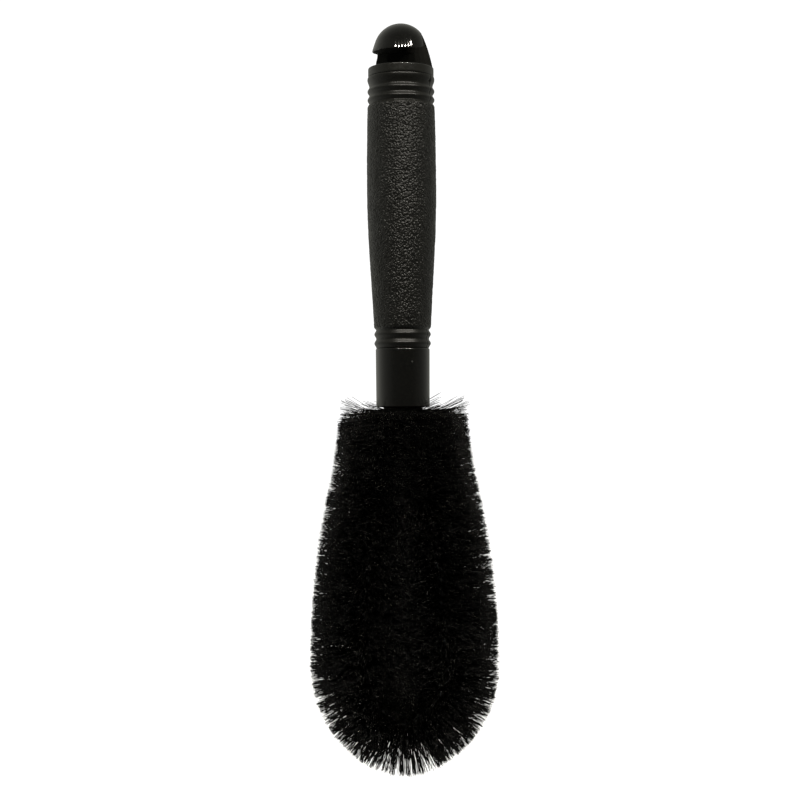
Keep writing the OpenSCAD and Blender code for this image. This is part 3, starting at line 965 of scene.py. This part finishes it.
def make_bristles(number, mirrored):
    """The filaments of one stretch of one leg, as separate thin rods."""
    start, end = stretch_ends[number - 1:number + 1]
    rows = bristle_rows(start, end)
    if number == 1:
        rows = [np.concatenate(both) for both in zip(rows, neck_rows(start))]
    s, angle, lean = rows
    count = len(s)
    point, ahead, outward = half_stem(s)
    round_way = np.cos(angle)[:, None] * outward + np.sin(angle)[:, None] * np.array([0.0, 1.0, 0.0])
    length = np.minimum(rng.normal(LENGTH_MEAN, LENGTH_SPREAD, count), LENGTH_MOST)
    bend = rng.normal(0, BEND_SPREAD, count)
    bend_angle = rng.uniform(0, 2 * math.pi, count)

    from_top = s - splay_start
    crowded = np.clip(1 - from_top / CROWN_LEN, 0, 1) * (from_top >= 0)
    crown_lean = CROWN_LEAN_LEFT if mirrored else CROWN_LEAN_RIGHT
    lean += crowded * crown_lean * (1 + rng.normal(0, CROWN_LEAN_SPREAD, count))
    length -= crowded * np.abs(rng.normal(0, CROWN_CUT, count))

    sideways = np.abs(np.cos(angle)) > STRAY_SIDEWAYS
    strays = (from_top > 0) & (from_top < STRAY_LEN) & sideways & (rng.random(count) < STRAY_SHARE)
    lean[strays] = rng.uniform(-STRAY_LEAN, STRAY_LEAN, strays.sum())
    bend[strays] = -rng.uniform(*STRAY_BEND, strays.sum())
    bend_angle[strays] = rng.normal(0, STRAY_BEND_TURN, strays.sum())

    way = np.cos(lean)[:, None] * round_way + np.sin(lean)[:, None] * ahead
    points, faces = filament_mesh(point + way * ROOT_GAP, way, ahead, length - ROOT_GAP, bend, bend_angle)
    if mirrored:
        points[:, 0] *= -1
        faces = [face[::-1] for face in faces]
    side = "left" if mirrored else "right"
    obj = add_object(f"filaments_{side}_{number}", points, faces, BRISTLE,
                     (f"bristles_{side}_{number}",))
    obj.data.materials.append(BRISTLE_END_GLINTS)
    is_tip = np.arange(len(faces)) >= len(faces) - count
    obj.data.polygons.foreach_set("material_index", is_tip.astype(np.int32))


for number in range(1, len(stretch_ends)):
    make_bristles(number, False)
    make_bristles(number, True)


# ---------------------------------------------------------------- finishes of the CAD pieces that stay


def finish_node(node, material):
    """Gives a CAD node one of the materials above."""
    for slot in bpy.data.objects[node].material_slots:
        slot.material = material


finish_node("handle_core", CORE)
# Painted shade: the stem socket gets this darker plastic instead of the core plastic, for the shade under the
# collar.
finish_node("stem_socket", HOLLOW_AND_SHADE)
finish_node("ferrule_left", FERRULE)
finish_node("ferrule_right", FERRULE)


# ---------------------------------------------------------------- studio


CAMERA_DISTANCE = 612.0
CAMERA_LENS = 68.85
CAMERA_ROLL = math.radians(0.38)
AXIS_SHIFT = 1.2
SENSOR = 36.0
NEAR_CLIP = 10.0
FAR_CLIP = 20000.0

LAMP_COUNT = 6
LAMP_FIRST = math.radians(-24)
LAMP_LAST = math.radians(52)
LAMP_ELEVATION = math.radians(43.8)
LAMP_DISTANCE = 1100.0
LAMP_WIDTH = 42.0
LAMP_HEIGHT = 30.0
LAMP_POWER = 2.1
LAMP_COLOR = (1.0, 0.95, 0.86)

# Brightness of the surroundings as light, from straight in front of the brush (0) to straight behind it (1).
WORLD_LEVELS = [(0.0, 0.07), (0.12, 0.09), (0.31, 0.2), (0.45, 0.3), (0.6, 0.45), (0.8, 0.62), (0.9, 0.55),
                (1.0, 0.32)]
WORLD_LEFT_TO_RIGHT = (1.2, 0.62)
WORLD_LEVEL_TO_TOP = (1.0, 0.7)
WORLD_BLUE = 0.9
BACKDROP_LEVEL = 1.1

FLOOR_DROP = 35.0
FLOOR_HALF_WIDTH = 6000.0
FLOOR_GLOW = 0.9


def make_camera():
    """A level camera in front of the brush, at the middle of its length."""
    data = bpy.data.cameras.new("camera")
    data.lens = CAMERA_LENS
    data.sensor_width = SENSOR
    data.clip_start = NEAR_CLIP * MM
    data.clip_end = FAR_CLIP * MM
    camera = bpy.data.objects.new("camera", data)
    middle = (cap_high[2] + bristle_low[2]) / 2
    camera.location = Vector((-AXIS_SHIFT, -CAMERA_DISTANCE, middle)) * MM
    camera.rotation_euler = (math.pi / 2, CAMERA_ROLL, 0)
    bpy.context.scene.collection.objects.link(camera)
    bpy.context.scene.camera = camera


def make_floor():
    """Plain pale floor a little below the tips of the bristles."""
    mesh = bpy.data.meshes.new("floor")
    size = FLOOR_HALF_WIDTH * MM
    z = (bristle_low[2] - FLOOR_DROP) * MM
    corners = [(-size, -size, z), (size, -size, z), (size, size, z), (-size, size, z)]
    mesh.from_pydata(corners, [], [(0, 1, 2, 3)])
    material, _, shader = new_material("pale_floor", (0.92, 0.92, 0.92), 0.8)
    shader.inputs["Emission Color"].default_value = (1, 1, 1, 1)
    shader.inputs["Emission Strength"].default_value = FLOOR_GLOW
    mesh.materials.append(material)
    floor = bpy.data.objects.new("floor", mesh)
    bpy.context.scene.collection.objects.link(floor)
    floor.visible_diffuse = False
    floor.visible_glossy = False


def world_light(tree):
    """The light of the surroundings: dim in front, bright behind, and brighter on the left."""
    place = tree.nodes.new("ShaderNodeTexCoord")
    split = tree.nodes.new("ShaderNodeSeparateXYZ")
    tree.links.new(place.outputs["Generated"], split.inputs[0])
    ramp = tree.nodes.new("ShaderNodeValToRGB")
    elements = ramp.color_ramp.elements
    elements[0].position = WORLD_LEVELS[0][0]
    elements[1].position = WORLD_LEVELS[-1][0]
    for position, _ in WORLD_LEVELS[1:-1]:
        elements.new(position)
    for element, (_, level) in zip(elements, WORLD_LEVELS):
        element.color = (level, level, level * WORLD_BLUE, 1)
    tree.links.new(remap(tree, split.outputs["Y"], (-1, 1), (0, 1)), ramp.inputs["Fac"])
    sideways = remap(tree, split.outputs["X"], (-1, 1), WORLD_LEFT_TO_RIGHT)
    upwards = remap(tree, split.outputs["Z"], (0, 1), WORLD_LEVEL_TO_TOP)
    light = tree.nodes.new("ShaderNodeBackground")
    tree.links.new(ramp.outputs["Color"], light.inputs["Color"])
    tree.links.new(combined(tree, "MULTIPLY", [sideways, upwards]), light.inputs["Strength"])
    return light


def make_world():
    """White all round to the camera, and soft uneven light to everything else."""
    world = bpy.data.worlds.new("studio")
    world.use_nodes = True
    bpy.context.scene.world = world
    tree = world.node_tree
    tree.nodes.clear()
    white = tree.nodes.new("ShaderNodeBackground")
    white.inputs["Color"].default_value = (1, 1, 1, 1)
    white.inputs["Strength"].default_value = BACKDROP_LEVEL
    path = tree.nodes.new("ShaderNodeLightPath")
    mix = tree.nodes.new("ShaderNodeMixShader")
    tree.links.new(path.outputs["Is Camera Ray"], mix.inputs["Fac"])
    tree.links.new(world_light(tree).outputs[0], mix.inputs[1])
    tree.links.new(white.outputs[0], mix.inputs[2])
    output = tree.nodes.new("ShaderNodeOutputWorld")
    tree.links.new(mix.outputs[0], output.inputs["Surface"])


def make_lamp(number, azimuth, aim):
    """A small soft lamp high in front of the brush, turned towards a place."""
    data = bpy.data.lights.new(f"lamp_{number}", "AREA")
    data.shape = "ELLIPSE"
    data.size = LAMP_WIDTH * MM
    data.size_y = LAMP_HEIGHT * MM
    data.energy = LAMP_POWER
    data.color = LAMP_COLOR
    out = LAMP_DISTANCE * math.cos(LAMP_ELEVATION)
    up = LAMP_DISTANCE * math.sin(LAMP_ELEVATION)
    place = Vector((out * math.sin(azimuth), -out * math.cos(azimuth), up))
    lamp = bpy.data.objects.new(data.name, data)
    lamp.location = place * MM
    lamp.rotation_euler = (aim - place).to_track_quat("-Z", "Y").to_euler()
    bpy.context.scene.collection.objects.link(lamp)


def make_lamps():
    """A row of lamps, mostly to the right of the brush."""
    grip_middle = Vector((0, 0, (grip_low[2] + grip_high[2]) / 2))
    for i in range(LAMP_COUNT):
        azimuth = LAMP_FIRST + (LAMP_LAST - LAMP_FIRST) * i / (LAMP_COUNT - 1)
        make_lamp(i, azimuth, grip_middle)


make_camera()
make_floor()
make_world()
make_lamps()
bpy.context.scene.view_settings.view_transform = "Standard"


# ---------------------------------------------------------------- finish


bpy.context.view_layer.update()
